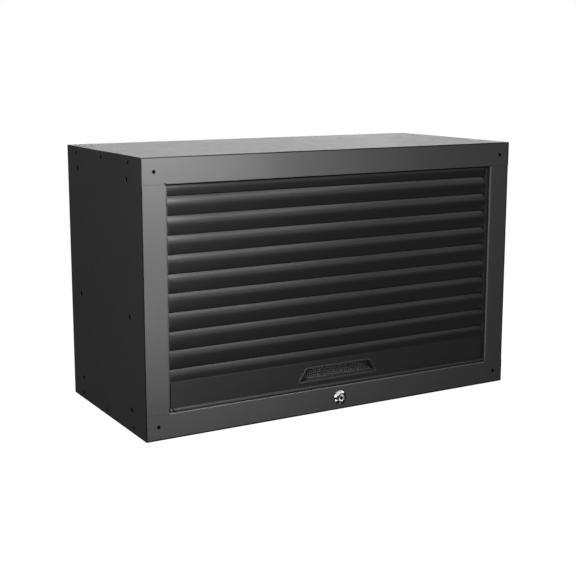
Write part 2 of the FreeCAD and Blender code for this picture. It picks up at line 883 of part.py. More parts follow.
def round_corners(body, name, radius, corners):
    """Round the edges that run from front to back through an outline's corners."""
    round_over(body, name, radius, "y",
               lambda p: any(near(p.x, x) and near(p.z, z) for x, z in corners))


def bottom_bar():
    """The curtain's bottom bar: plate, rear flange, forward lip and top bead.

    A slanting cut near each end parts the lip from its end piece.
    """
    body = new_body("BarBody")
    rear = front + bar_flange
    plate_back = bar_front + panel_sheet
    channel = [(bar_front, bar_low), (rear, bar_low), (rear, bar_low + bar_upturn),
               (rear - panel_sheet, bar_low + bar_upturn),
               (rear - panel_sheet, bar_low + panel_sheet),
               (plate_back, bar_low + panel_sheet), (plate_back, bar_high),
               (bar_front, bar_high)]
    pad(body, "Channel", "YZ", [channel], -bar_half, bar_half * 2)
    lip_half = opening_half - lip_end_gap
    lip_front = bar_front - lip_proud
    pad(body, "Lip", "YZ", [rectangle(lip_front, plate_back, bar_low,
                                      bar_low + lip_height)], -lip_half, lip_half * 2)
    half = slat_sheet / 2
    strip_low = bar_knuckle - slat_drop - slat_sheet
    neck = [(bar_front + panel_sheet / 2, strip_low), (knuckle_y + half, strip_low),
            (knuckle_y + half, bar_knuckle - bead_radius / 2),
            (knuckle_y - half, bar_knuckle - bead_radius / 2),
            (knuckle_y - half, strip_low + slat_sheet),
            (bar_front + panel_sheet / 2, strip_low + slat_sheet)]
    pad(body, "Neck", "YZ", [neck], -bar_half, bar_half * 2)
    pad(body, "Bead", "YZ", [(knuckle_y, bar_knuckle, bead_radius)], -bar_half,
        bar_half * 2)
    clear_half = grip_low_half + grip_wall + cut_over
    pocket(body, "CupRoom", "YZ", [rectangle(plate_back, knuckle_y + bead_radius,
                                             strip_low - cut_over,
                                             bar_knuckle - bead_radius)],
           -clear_half, clear_half * 2)
    pocket(body, "CupHole", "XZ", [grip_outline(0)], bar_front - cut_over,
           panel_sheet + cut_over * 2)
    slot = rectangle(-cam_slot_far, -cam_slot_near, cam_front - cam_slot_gap,
                     cam_back + cam_slot_gap)
    pocket(body, "CamSlot", "XY", [slot], bar_low - cut_over,
           panel_sheet + cut_over * 2)
    round_corners(body, "HoleCorners", grip_corner, grip_outline(0))
    lip_high = bar_low + lip_height
    round_over(body, "LipTop", lip_top_radius, "x",
               lambda p: near(p.y, lip_front) and near(p.z, lip_high))
    round_over(body, "LipLow", lip_low_radius, "x",
               lambda p: near(p.y, lip_front) and near(p.z, bar_low))
    cut_half = lip_cut_width / 2
    high_middle, low_middle = lip_half - lip_cut_high, lip_half - lip_cut_low
    cuts = [[((low_middle - cut_half) * side, bar_low - cut_over),
             ((low_middle + cut_half) * side, bar_low - cut_over),
             ((high_middle + cut_half) * side, lip_high + cut_over),
             ((high_middle - cut_half) * side, lip_high + cut_over)]
            for side in (-1, 1)]
    pocket(body, "LipCuts", "XZ", cuts, lip_front - cut_over, lip_proud + cut_over)
    return keep(body, "bottom_bar")


def grip_cup():
    """The pull cup: a rim on the bar's face and a tray behind it."""
    body = new_body("CupBody")
    rim_front = bar_front - grip_rim_proud
    floor = bar_front + grip_recess
    pad(body, "Rim", "XZ", [grip_outline(grip_rim)], rim_front, grip_rim_proud)
    pad(body, "Tray", "XZ", [grip_outline(-hole_clearance)], rim_front,
        floor + grip_wall - rim_front)
    inside = grip_outline(-hole_clearance - grip_wall)
    pocket(body, "Hollow", "XZ", [inside], rim_front - cut_over,
           floor - rim_front + cut_over)
    round_corners(body, "RimCorners", grip_corner + grip_rim, grip_outline(grip_rim))
    round_corners(body, "TrayCorners", grip_corner - hole_clearance,
                  grip_outline(-hole_clearance))
    round_corners(body, "HollowCorners", grip_corner - hole_clearance - grip_wall, inside)
    return keep(body, "grip_cup")


def bar_shoe(side):
    """A plastic shoe: a block in the track's channel and a tongue behind the bar."""
    low = (bar_low + bar_knuckle - slat_drop - shoe_height) / 2 + panel_sheet
    high = low + shoe_height
    block_half = channel_half - roller_clearance
    begin = track_mouth - bar_end_gap - shoe_tongue
    inner, mouth, outer = begin, bar_half, track_web - roller_gap
    step = seam

    def across(x0, x1, *rest):
        ends = (x0, x1) if side > 0 else (-x1, -x0)
        return box(*ends, *rest)

    block = across(mouth + bar_end_gap, outer, knuckle_y - block_half,
                   knuckle_y + block_half, low, high)
    tongue = across(inner, mouth + bar_end_gap, knuckle_y - block_half + step,
                    knuckle_y + block_half - step, low + step, high - step)
    seat = across(inner, mouth - step, bar_front + panel_sheet, knuckle_y, low + step,
                  high - step)
    name = side_names[side] + "_bar_shoe"
    return keep(fused([block, tongue, seat], name), name)


def bar_seal():
    """The rubber strip under the bar, just clear of the sill."""
    half = track_mouth - corner_tab - seal_end_gap
    begin = bar_front + panel_sheet
    strip = box(-half, half, begin, begin + seal_depth, bottom_rail + seal_gap, bar_low)
    return keep(strip, "bar_seal")


# The lock
def lock_housing():
    """The chrome housing: domed bezel in front of the rail and barrel behind it."""
    body = new_body("HousingBody")
    bore = plug_radius + pin_clearance
    profile = [(-bezel_proud, bore), (-bezel_proud, bezel_face, bezel_dome, "left"),
               (-bezel_edge, bezel_radius), (0, bezel_radius), (0, barrel_radius),
               (barrel_length, barrel_radius), (barrel_length, bore)]
    sketch = draw(body, "Profile", "YZ", [profile], 0)
    turned = body.newObject("PartDesign::Revolution", "Turned")
    turned.Profile = sketch
    turned.ReferenceAxis = (sketch, ["H_Axis"])
    full_turn = 360
    turned.Angle = full_turn
    place(body, 0, front, lock_height)
    return keep(body, "lock_housing")


def lock_nut():
    """The hexagon nut on the barrel, behind the rail."""
    begin = front + panel_sheet
    hexagon = document.addObject("Part::Prism", "Hexagon")
    hexagon.Polygon = 6
    bind(hexagon, Circumradius=nut_radius, Height=nut_thickness)
    place(hexagon, 0, begin, lock_height, "y")
    hole = cylinder(barrel_radius + pin_clearance, nut_thickness + cut_over * 2, 0,
                    begin - cut_over, lock_height, "y")
    return keep(cut(hexagon, [hole], "NutCut"), "lock_nut")


def lock_plug():
    """The turning plug with its key slot, and the square that drives the cam."""
    begin = front - plug_proud
    round_part = cylinder(plug_radius, barrel_back - begin + cam_gap, 0, begin,
                          lock_height, "y")
    half = cam_square / 2
    square = box(-half, half, barrel_back, cam_back, lock_height - half,
                 lock_height + half)
    key_slot = box(-key_slot_width / 2, key_slot_width / 2, begin - cut_over,
                   begin + key_slot_depth, lock_height - key_slot_height / 2,
                   lock_height + key_slot_height / 2)
    thread = cylinder(shank_radius, cam_screw_length, 0, cam_back, lock_height, "-y")
    return keep(cut(fused([round_part, square]), [key_slot, thread], "PlugCut"),
                "lock_plug")


# Directions in the cam's face at rest, from +X towards +Z, as shares of a full turn
arm_direction_share = 212 / 360
hook_tip_share = 168 / 360


def polar(radius, share):
    """A point at a radius and a direction from the lock's axis."""
    angle = 2 * math.pi * share
    return radius * math.cos(angle), radius * math.sin(angle)


def lock_cam():
    """The cam: hub, arm and a hook that closes over the bar's flange."""
    body = new_body("CamBody")
    pad(body, "Hub", "XZ", [(0, 0, cam_hub)], 0, cam_thickness)
    end_x, end_z = polar(cam_arm, arm_direction_share)
    side_x, side_z = polar(cam_arm_width / 2, arm_direction_share + 1 / 4)
    arm = [(side_x, side_z), (end_x + side_x, end_z + side_z),
           (end_x - side_x, end_z - side_z), (-side_x, -side_z)]
    pad(body, "Arm", "XZ", [arm], 0, cam_thickness)
    outer = [polar(cam_hook_outer, share) for share in (hook_tip_share,
                                                        arm_direction_share)]
    inner = [polar(cam_hook_inner, share) for share in (hook_tip_share,
                                                        arm_direction_share)]
    hook = [(*outer[0], cam_hook_outer, "left"), outer[1],
            (*inner[1], cam_hook_inner, "right"), inner[0]]
    pad(body, "HookTip", "XZ", [hook], 0, cam_thickness)
    half = cam_square / 2 + pin_clearance
    pocket(body, "Square", "XZ", [rectangle(-half, half, -half, half)], -cut_over,
           cam_thickness + cut_over * 2)
    place(body, 0, cam_front, lock_height)
    return keep(body, "lock_cam")


def cam_screw():
    """The screw and its broad head that hold the cam on the plug."""
    head = cylinder(cam_screw_head, tail_thickness * 2, 0, cam_back, lock_height, "y")
    shank = cylinder(shank_radius - pin_clearance, cam_screw_length - seam, 0, cam_back,
                     lock_height, "-y")
    return keep(fused([head, shank], "CamScrew"), "cam_screw")


end_panel("bottom_panel", bottom_rail, False)
end_panel("top_panel", top_rail, True)
back_panel()
for side in (-1, 1):
    side_panel(side)
    track(side)
    brackets(side)
    track_screws(side)
    bar_shoe(side)
rivets()
slats_and_rollers()
bottom_bar()
grip_cup()
bar_seal()
lock_housing()
lock_nut()
lock_plug()
lock_cam()
cam_screw()

document.recompute()
for thing in document.Objects:
    if "Invalid" in thing.State or "Error" in thing.State:
        raise RuntimeError(f"{thing.Label} did not build: {thing.State}")
    if thing.TypeId == "PartDesign::Pocket":
        before = thing.BaseFeature.Shape.Volume
        if not before - thing.Shape.Volume > 0:
            raise RuntimeError(f"{thing.Label} took nothing away")
for thing in sub_parts:
    if thing.Shape.isNull() or not thing.Shape.isValid() or not thing.Shape.Solids:
        raise RuntimeError(f"{thing.Label} has no sound shape")

os.makedirs("parts", exist_ok=True)
for thing in sub_parts:
    thing.Shape.exportStep(f"parts/{thing.Label}.step")
print(len(sub_parts), "sub-parts,", slat_count, "slats, shutter travel",
      round(travel.value, 3))
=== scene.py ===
import json
import math

import bpy
import numpy as np
from mathutils import Matrix, Vector


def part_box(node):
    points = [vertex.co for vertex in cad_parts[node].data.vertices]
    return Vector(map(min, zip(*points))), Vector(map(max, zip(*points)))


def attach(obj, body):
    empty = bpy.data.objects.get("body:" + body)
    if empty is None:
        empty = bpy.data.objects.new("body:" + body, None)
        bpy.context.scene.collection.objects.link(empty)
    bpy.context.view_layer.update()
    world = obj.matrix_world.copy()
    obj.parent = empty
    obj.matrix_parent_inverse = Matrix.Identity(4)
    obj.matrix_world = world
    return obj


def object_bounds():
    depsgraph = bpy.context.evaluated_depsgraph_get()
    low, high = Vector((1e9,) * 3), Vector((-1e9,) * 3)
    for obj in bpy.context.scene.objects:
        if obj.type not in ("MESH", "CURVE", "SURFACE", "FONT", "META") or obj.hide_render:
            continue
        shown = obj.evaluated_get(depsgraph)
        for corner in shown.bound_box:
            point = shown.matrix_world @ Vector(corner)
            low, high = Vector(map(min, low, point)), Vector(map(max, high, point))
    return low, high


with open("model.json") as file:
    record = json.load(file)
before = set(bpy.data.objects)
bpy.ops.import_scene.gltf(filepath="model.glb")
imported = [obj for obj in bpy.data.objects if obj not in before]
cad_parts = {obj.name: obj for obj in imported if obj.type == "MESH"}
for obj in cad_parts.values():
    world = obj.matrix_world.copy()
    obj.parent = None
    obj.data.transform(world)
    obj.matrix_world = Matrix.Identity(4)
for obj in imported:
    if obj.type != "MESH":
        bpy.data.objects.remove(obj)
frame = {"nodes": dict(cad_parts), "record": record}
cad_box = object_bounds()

mm = 0.001
nodes = frame["nodes"]
scene = bpy.context.scene
scene.view_settings.view_transform = "Standard"
scene.view_settings.look = "None"

# Places on the object, read from the frame
half_width, height = cad_box[1].x, cad_box[1].z
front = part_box("left_side_panel")[0].y
opening_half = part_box("right_side_panel")[0].x
sill_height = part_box("bottom_panel")[1].z
slat_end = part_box("slat_05")[1].x
bar_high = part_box("bottom_bar")[1].z
lip_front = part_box("bottom_bar")[0].y
lock_low, lock_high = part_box("lock_housing")
lock_middle = (lock_low.z + lock_high.z) / 2
plug_low, plug_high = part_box("lock_plug")
cup_low, cup_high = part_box("grip_cup")

# The pull cup's floor, inside its walls
cup_wall = 1 * mm
cup_border = 2.7 * mm
cup_side_border = 1.45 * mm
cup_narrowing = 14.3 * mm
floor_depth = cup_high.y - cup_wall
floor_low, floor_high = cup_low.z + cup_border, cup_high.z - cup_border
floor_low_half = cup_high.x - cup_side_border
floor_high_half = floor_low_half - cup_narrowing

# How far a mask takes to fade, unless its function says otherwise
soft_edge = 0.5 * mm


# Shader helpers
def node_material(name):
    """An empty node material with its surface shader and its output."""
    material = bpy.data.materials.new(name)
    material.use_nodes = True
    tree = material.node_tree
    tree.nodes.clear()
    shader = tree.nodes.new("ShaderNodeBsdfPrincipled")
    output = tree.nodes.new("ShaderNodeOutputMaterial")
    tree.links.new(shader.outputs["BSDF"], output.inputs["Surface"])
    return material, tree, shader


def object_noise(tree, scale, detail, stretch=(1, 1, 1)):
    """Noise in the object's own coordinates, its grains stretched along the axes."""
    place = tree.nodes.new("ShaderNodeTexCoord")
    mapping = tree.nodes.new("ShaderNodeMapping")
    mapping.inputs["Scale"].default_value = stretch
    noise = tree.nodes.new("ShaderNodeTexNoise")
    noise.inputs["Scale"].default_value = scale
    noise.inputs["Detail"].default_value = detail
    tree.links.new(place.outputs["Object"], mapping.inputs["Vector"])
    tree.links.new(mapping.outputs["Vector"], noise.inputs["Vector"])
    return noise.outputs["Fac"]


def spread(tree, value, low, high):
    """A noise value stretched from its middle range to low and high."""
    reach = tree.nodes.new("ShaderNodeMapRange")
    reach.inputs["From Min"].default_value = 0.3
    reach.inputs["From Max"].default_value = 0.7
    reach.inputs["To Min"].default_value = low
    reach.inputs["To Max"].default_value = high
    tree.links.new(value, reach.inputs["Value"])
    return reach.outputs["Result"]


def two_colours(tree, value, first, second):
    """A blend of two colours by a value from 0 to 1."""
    mix = tree.nodes.new("ShaderNodeMix")
    mix.data_type = "RGBA"
    mix.inputs["A"].default_value = (*first, 1)
    mix.inputs["B"].default_value = (*second, 1)
    tree.links.new(value, mix.inputs["Factor"])
    return mix.outputs["Result"]


def bumped(tree, shader, value, height):
    """Surface relief from a value, as high as height in metres."""
    bump = tree.nodes.new("ShaderNodeBump")
    bump.inputs["Strength"].default_value = 1
    bump.inputs["Distance"].default_value = height
    tree.links.new(value, bump.inputs["Height"])
    tree.links.new(bump.outputs["Normal"], shader.inputs["Normal"])


def grey(level):
    """A neutral colour."""
    return (level, level, level)


def arithmetic(tree, operation, first, second=None):
    """A math node's result; each operand is a socket or a number."""
    node = tree.nodes.new("ShaderNodeMath")
    node.operation = operation
    for socket, value in zip(node.inputs, (first, second)):
        if value is None:
            continue
        if isinstance(value, bpy.types.NodeSocket):
            tree.links.new(value, socket)
        else:
            socket.default_value = value
    return node.outputs["Value"]


def ramp_between(tree, value, low, high):
    """A value as 0 at low and 1 at high, held beyond both."""
    reach = tree.nodes.new("ShaderNodeMapRange")
    reach.inputs["From Min"].default_value = low
    reach.inputs["From Max"].default_value = high
    tree.links.new(value, reach.inputs["Value"])
    return reach.outputs["Result"]


def past(tree, value, edge, fade=soft_edge):
    """1 where a value is past an edge, 0 where it is short of it."""
    return ramp_between(tree, value, edge - fade / 2, edge + fade / 2)


def short_of(tree, value, edge, fade=soft_edge):
    """1 where a value is short of an edge, 0 where it is past it."""
    return ramp_between(tree, value, edge + fade / 2, edge - fade / 2)


def both(tree, *masks):
    """1 where every mask is 1."""
    product = masks[0]
    for mask in masks[1:]:
        product = arithmetic(tree, "MULTIPLY", product, mask)
    return product


def either(tree, *masks):
    """1 where any mask is 1."""
    highest = masks[0]
    for mask in masks[1:]:
        highest = arithmetic(tree, "MAXIMUM", highest, mask)
    return highest


def coordinates(tree, output="Object"):
    """The object's own x, y and z, or those of its normal."""
    place = tree.nodes.new("ShaderNodeTexCoord")
    parts = tree.nodes.new("ShaderNodeSeparateXYZ")
    tree.links.new(place.outputs[output], parts.inputs["Vector"])
    return parts.outputs["X"], parts.outputs["Y"], parts.outputs["Z"]


def toned(tree, mask, colour, other):
    """A colour that turns to a constant one where a mask is 1."""
    mix = tree.nodes.new("ShaderNodeMix")
    mix.data_type = "RGBA"
    tree.links.new(mask, mix.inputs["Factor"])
    tree.links.new(colour, mix.inputs["A"])
    mix.inputs["B"].default_value = (*other, 1)
    return mix.outputs["Result"]


# Masks of places on the pieces. Their tones stand in for light and shade in the photograph
# that the soft boxes don't give.
def outer_folds_painted_shade(tree):
    """1 on the folds round the outside of the front frame, toned near black as painted shade.
    """
    left, right, top, bottom, deep = 0.95 * mm, 2.5 * mm, 1.65 * mm, 2.5 * mm, 2 * mm
    x, y, z = coordinates(tree)
    outside = either(tree, short_of(tree, x, left - half_width),
                     past(tree, x, half_width - right),
                     past(tree, z, height - top), short_of(tree, z, bottom))
    return both(tree, outside, short_of(tree, y, front + deep))


def sill_edge_painted_highlight(tree):
    """1 on the lower rail's upper fold inside the opening, toned paler as a painted highlight.
    """
    beside, under, over, deep = 3.25 * mm, 1.4 * mm, 1.05 * mm, 1.7 * mm
    x, y, z = coordinates(tree)
    across = arithmetic(tree, "ABSOLUTE", x)
    return both(tree, short_of(tree, across, opening_half + beside),
                past(tree, z, sill_height - under), short_of(tree, z, sill_height + over),
                short_of(tree, y, front + deep))


def stile_returns_painted_highlight(tree):
    """1 on the stiles' edges that face each other across the opening: a painted highlight."""
    thin, sharp = 0.3 * mm, 0.2 * mm
    x, y, _ = coordinates(tree)
    across = arithmetic(tree, "ABSOLUTE", x)
    return both(tree, past(tree, across, opening_half - thin, sharp),
                short_of(tree, across, opening_half + thin, sharp),
                past(tree, y, front + thin, sharp))


def above_the_bar_painted_light(tree):
    """1 on the curtain just above the bottom bar when it is shut: painted light over its shade.
    """
    under, over, slow = 0.5 * mm, 1.85 * mm, 1.7 * mm
    _, _, z = coordinates(tree)
    return both(tree, past(tree, z, bar_high - under), short_of(tree, z, bar_high + over, slow))


def hole_walls_painted_shade(tree):
    """1 in the thickness of the side panels' sheet, away from its folds: painted shade in the
    holes.
    """
    sheet, skin, fold, sharp = 1.125 * mm, 0.035 * mm, 3.5 * mm, 0.03 * mm
    x, y, _ = coordinates(tree)
    across = arithmetic(tree, "ABSOLUTE", x)
    along = arithmetic(tree, "ABSOLUTE", y)
    return both(tree, past(tree, across, half_width - sheet, sharp),
                short_of(tree, across, half_width - skin, sharp),
                short_of(tree, along, -front - fold))


def slat_left_ends(tree):
    """1 on the slats' last millimetre at the left, kept dull so that it doesn't shine."""
    length = 0.8 * mm
    x, _, _ = coordinates(tree)
    return short_of(tree, x, length - slat_end)


def slat_ends_below(tree):
    """1 on the slats' undersides near their right ends, toned paler for the light there."""
    length, slow, tilt, tilt_fade = 7.5 * mm, 12 * mm, -0.225, 0.25
    x, _, _ = coordinates(tree)
    _, _, rising = coordinates(tree, "Normal")
    return both(tree, past(tree, x, slat_end - length, slow),
                short_of(tree, rising, tilt, tilt_fade))


def lip_face_painted_highlight(tree):
    """1 on the bottom bar's forward lip, toned paler as a painted highlight."""
    lip_depth = 3.35 * mm
    _, y, _ = coordinates(tree)
    return short_of(tree, y, lip_front + lip_depth)


def powder_coat(name, level, roughness, grain_height=0.02 * mm, specular=0.5, marks=(),
                clouding=0.03, dull=None):
    """Powder coat: a fine orange-peel grain, faint clouds of tone and of gloss.

    marks are pairs of a mask's function and the share of the level it turns to, and
    dull is the function of the mask where the coat has no gloss.
    """
    material, tree, shader = node_material(name)
    clouds = spread(tree, object_noise(tree, scale=9, detail=3), 0, 1)
    colour = two_colours(tree, clouds, grey(level * 0.94), grey(level * 1.06))
    for mask, share in marks:
        colour = toned(tree, mask(tree), colour, grey(level * share))
    tree.links.new(colour, shader.inputs["Base Color"])
    gloss = spread(tree, object_noise(tree, scale=60, detail=4), roughness - clouding,
                   roughness + clouding)
    if dull:
        gloss = arithmetic(tree, "MAXIMUM", gloss, dull(tree))
    tree.links.new(gloss, shader.inputs["Roughness"])
    bumped(tree, shader, object_noise(tree, scale=1400, detail=2), grain_height)
    shader.inputs["Specular IOR Level"].default_value = specular
    return material


def bare_metal(name, level, roughness, stretch):
    """Plated or brushed metal: fine streaks along one axis in tone and gloss."""
    material, tree, shader = node_material(name)
    streaks = spread(tree, object_noise(tree, scale=900, detail=3, stretch=stretch), 0, 1)
    colour = two_colours(tree, streaks, grey(level * 0.92), grey(level * 1.05))
    tree.links.new(colour, shader.inputs["Base Color"])
    gloss = spread(tree, object_noise(tree, scale=500, detail=3, stretch=stretch),
                   roughness * 0.8, roughness * 1.3)
    tree.links.new(gloss, shader.inputs["Roughness"])
    shader.inputs["Metallic"].default_value = 1
    return material


def moulded(name, level, roughness, grain_height=0.03 * mm):
    """Moulded plastic or rubber: spark-eroded grain, slight tone changes."""
    material, tree, shader = node_material(name)
    clouds = spread(tree, object_noise(tree, scale=40, detail=3), 0, 1)
    colour = two_colours(tree, clouds, grey(level * 0.9), grey(level * 1.1))
    tree.links.new(colour, shader.inputs["Base Color"])
    gloss = spread(tree, object_noise(tree, scale=300, detail=2), roughness - 0.05,
                   roughness + 0.05)
    tree.links.new(gloss, shader.inputs["Roughness"])
    bumped(tree, shader, object_noise(tree, scale=2500, detail=2), grain_height)
    return material


def round_the_lock(tree):
    """The angle round the lock's axis as a share of a turn, and the radius."""
    x, y, z = coordinates(tree)
    rise = arithmetic(tree, "SUBTRACT", z, lock_middle)
    angle = arithmetic(tree, "ARCTAN2", rise, x)
    share = arithmetic(tree, "FRACT", arithmetic(tree, "DIVIDE", angle, 2 * math.pi))
    square = arithmetic(tree, "ADD", arithmetic(tree, "MULTIPLY", x, x),
                        arithmetic(tree, "MULTIPLY", rise, rise))
    return share, arithmetic(tree, "SQRT", square), y


def stepped_tone(tree, value, stops):
    """A grey tone that runs through stops of (value, level)."""
    ramp = tree.nodes.new("ShaderNodeValToRGB")
    elements = ramp.color_ramp.elements
    elements.remove(elements[1])
    elements[0].position = stops[0][0]
    elements[0].color = (*grey(stops[0][1]), 1)
    for position, level in stops[1:]:
        elements.new(position).color = (*grey(level), 1)
    tree.links.new(value, ramp.inputs["Fac"])
    return ramp.outputs["Color"]


def lock_dome_painted_reflections(tree):
    """Painted reflections: bands in place of mirrored ones, a broad bright arc at the upper
    left.
    """
    dome_width = 3.05 * mm
    arc_start, arc_end, arc_fade = 0.235, 0.405, 0.03
    turn_shares = (
        (0.0, 0.008), (0.12, 0.008), (0.15, 0.85), (0.2, 0.85), (0.23, 0.42), (0.39, 0.38),
        (0.43, 0.85), (0.46, 0.85), (0.48, 0.01), (0.53, 0.01), (0.55, 0.85), (0.585, 0.85),
        (0.605, 0.01), (0.7, 0.01), (0.72, 0.35), (0.76, 0.35), (0.78, 0.008))
    share, radius, _ = round_the_lock(tree)
    bands = stepped_tone(tree, share, turn_shares)
    arc = both(tree, past(tree, share, arc_start, arc_fade),
               short_of(tree, share, arc_end, arc_fade))
    # Painted reflection: dark inside the dome's outer band, except along the arc
    inner = both(tree, short_of(tree, radius, lock_high.x - dome_width),
                 arithmetic(tree, "SUBTRACT", 1, arc))
    return toned(tree, inner, bands, grey(0.015))


def lock_plug_painted_reflections(tree):
    """Painted reflections on the face, painted shade on its keyway, edge and side."""
    bevel, keyway_radius, face_depth, sharp = 0.4 * mm, 2.65 * mm, 0.2 * mm, 0.2 * mm
    turn_shares = ((0.0, 0.2), (0.1, 0.25), (0.16, 0.6), (0.3, 0.6), (0.35, 0.08), (0.45, 0.08),
                   (0.52, 0.4), (0.6, 0.75), (0.78, 0.7), (0.9, 0.25), (1.0, 0.2))
    share, radius, y = round_the_lock(tree)
    face = stepped_tone(tree, share, turn_shares)
    # Painted shade over the keyway
    face = toned(tree, short_of(tree, radius, keyway_radius), face, grey(0.003))
    # Painted shade on the ring round the plug's edge
    face = toned(tree, past(tree, radius, plug_high.x - bevel, sharp), face, grey(0.02))
    # Painted shade on the plug's side
    return toned(tree, past(tree, y, plug_low.y + face_depth, sharp), face, grey(0.01))


def polished(name, tone):
    """Glossy plating, not metallic, with painted reflections in its colour and slight changes
    in its gloss.
    """
    material, tree, shader = node_material(name)
    tree.links.new(tone(tree), shader.inputs["Base Color"])
    gloss = spread(tree, object_noise(tree, scale=500, detail=3), 0.16, 0.24)
    tree.links.new(gloss, shader.inputs["Roughness"])
    shader.inputs["Specular IOR Level"].default_value = 0.3
    return material


def cup_moulding():
    """The pull cup's plastic: rim paler than the bar, painted highlight on rim sides, painted
    shade on walls.
    """
    rim_depth, wall_middle, wall_fade = 1.1 * mm, 3.7 * mm, 4 * mm
    flat_share, flat_fade, lower_share, lower_fade = 0.5, 0.2, 0.7, 0.2
    material, tree, shader = node_material("cup_plastic")
    clouds = spread(tree, object_noise(tree, scale=40, detail=3), 0, 1)
    colour = two_colours(tree, clouds, grey(0.045), grey(0.055))
    _, y, _ = coordinates(tree)
    _, facing, rising = coordinates(tree, "Normal")
    walls = short_of(tree, arithmetic(tree, "ABSOLUTE", facing), flat_share, flat_fade)
    # Painted shade on the cup's walls
    colour = toned(tree, walls, colour, grey(0.015))
    lower = both(tree, past(tree, rising, lower_share, lower_fade),
                 past(tree, y, floor_depth - wall_middle, wall_fade))
    # Painted shade on the lower wall, which faces up, less dark than the others
    colour = toned(tree, lower, colour, grey(0.03))
    rim = short_of(tree, y, cup_low.y + rim_depth)
    colour = toned(tree, rim, colour, grey(0.018))
    # Painted highlight where the rim meets the walls
    colour = toned(tree, both(tree, rim, walls), colour, grey(0.08))
    tree.links.new(colour, shader.inputs["Base Color"])
    gloss = spread(tree, object_noise(tree, scale=300, detail=2), 0.5, 0.6)
    tree.links.new(gloss, shader.inputs["Roughness"])
    bumped(tree, shader, object_noise(tree, scale=2500, detail=2), 0.03 * mm)
    return material


def waffle_plastic():
    """The cup floor's plastic: pale ribs, painted shade in its pits, painted shading paler
    towards its lower edge.
    """
    shade_rise, pit_height, pit_fade = 2.3 * mm, 0.175 * mm, 0.25 * mm
    material, tree, shader = node_material("waffle_plastic")
    _, y, z = coordinates(tree)
    # Painted shading: paler low on the floor, darker high up
    height_share = ramp_between(tree, z, floor_low + shade_rise, floor_high)
    colour = two_colours(tree, height_share, grey(0.105), grey(0.06))
    # Painted shade in the pits
    pits = past(tree, y, floor_depth - pit_height, pit_fade)
    colour = toned(tree, arithmetic(tree, "MULTIPLY", pits, 0.95), colour, grey(0.005))
    tree.links.new(colour, shader.inputs["Base Color"])
    gloss = spread(tree, object_noise(tree, scale=300, detail=2), 0.5, 0.6)
    tree.links.new(gloss, shader.inputs["Roughness"])
    return material


# The marks on the coats below are painted shade, painted highlights and painted light, not
# colours of the paint.
finishes = {
    "case_paint": powder_coat("case_powder_coat", 0.04, 0.58, specular=0.25,
                              marks=((outer_folds_painted_shade, 0.04), (sill_edge_painted_highlight, 1.8),
                                     (stile_returns_painted_highlight, 2.2), (hole_walls_painted_shade, 0.4))),
    "slat_paint": powder_coat("slat_powder_coat", 0.003, 0.3, 0.006 * mm, specular=0.62,
                              marks=((above_the_bar_painted_light, 8), (slat_ends_below, 7)),
                              clouding=0.01, dull=slat_left_ends),
    "bar_paint": powder_coat("bar_powder_coat", 0.01, 0.42, marks=((lip_face_painted_highlight, 1.6),)),
    "dark_track": powder_coat("track_powder_coat", 0.02, 0.5),
    "black_fixings": powder_coat("black_phosphate", 0.0015, 0.9, specular=0.02),
    "inner_zinc": bare_metal("zinc_plate", 0.5, 0.4, (0.3, 1, 1)),
    "lock_chrome": polished("bright_chrome", lock_dome_painted_reflections),
    "plug_steel": polished("brushed_plug", lock_plug_painted_reflections),
    "roller_nylon": moulded("black_nylon", 0.03, 0.5),
    "cup_plastic": cup_moulding(),
    "seal_rubber": moulded("seal_rubber", 0.015, 0.8),
}
rivet_paint = powder_coat("painted_rivets", 0.006, 0.9, specular=0.05)


def dress_cad_nodes():
    """Give every CAD node the finish of its own material slot."""
    slots = {part["node"]: part["material_slot"] for part in frame["record"]["subparts"]}
    for name, piece in nodes.items():
        piece.data.materials.clear()
        finish = rivet_paint if name.endswith("_side_rivets") else finishes[slots[name]]
        piece.data.materials.append(finish)


def cup_mesh():
    """The waffle on the pull cup's floor, as one height field.

    Over the floor's trapezoid, the height is waffle * smooth(c) with
    c = max(|sin(pi x / pitch)|, |sin(pi z / pitch)|), so ribs cross between
    square pits; it is 0 on the trapezoid's edge.
    """
    waffle, pitch, step, lift = 0.5 * mm, 4 * mm, 0.4 * mm, 0.02 * mm
    rib_start, rib_slope = 0.7, 0.2
    sliver = step / 20
    columns = round(2 * floor_low_half / step) + 1
    rows = round((floor_high - floor_low) / step) + 1
    across, up = np.meshgrid(np.linspace(-floor_low_half, floor_low_half, columns),
                             np.linspace(floor_low, floor_high, rows))
    rise_share = (up - floor_low) / (floor_high - floor_low)
    half = floor_low_half + (floor_high_half - floor_low_half) * rise_share
    inside = np.minimum(half - np.abs(across), np.minimum(up - floor_low, floor_high - up))
    rim = np.clip(inside / step, 0, 1)
    ribs = np.maximum(np.abs(np.sin(math.pi * across / pitch)),
                      np.abs(np.sin(math.pi * up / pitch)))
    ribs = np.clip((ribs - rib_start) / rib_slope, 0, 1)
    relief = waffle * ribs * ribs * (3 - 2 * ribs) * rim
    across = np.clip(across, -half, half)
    points = np.stack([across, floor_depth - lift - relief, up], axis=-1).reshape(-1, 3)
    index = np.arange(rows * columns).reshape(rows, columns)
    faces = np.stack([index[:-1, :-1], index[:-1, 1:], index[1:, 1:], index[1:, :-1]],
                     axis=-1).reshape(-1, 4)
    corners = points[faces][:, :, 0]
    wide = np.abs(corners).max(axis=1) - np.abs(corners).min(axis=1) > sliver
    mesh = bpy.data.meshes.new("cup_mesh")
    mesh.from_pydata(points.tolist(), [], faces[wide].tolist())
    piece = bpy.data.objects.new("cup_mesh", mesh)
    scene.collection.objects.link(piece)
    mesh.materials.append(waffle_plastic())
    for face in mesh.polygons:
        face.use_smooth = True
    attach(piece, "shutter_bar")


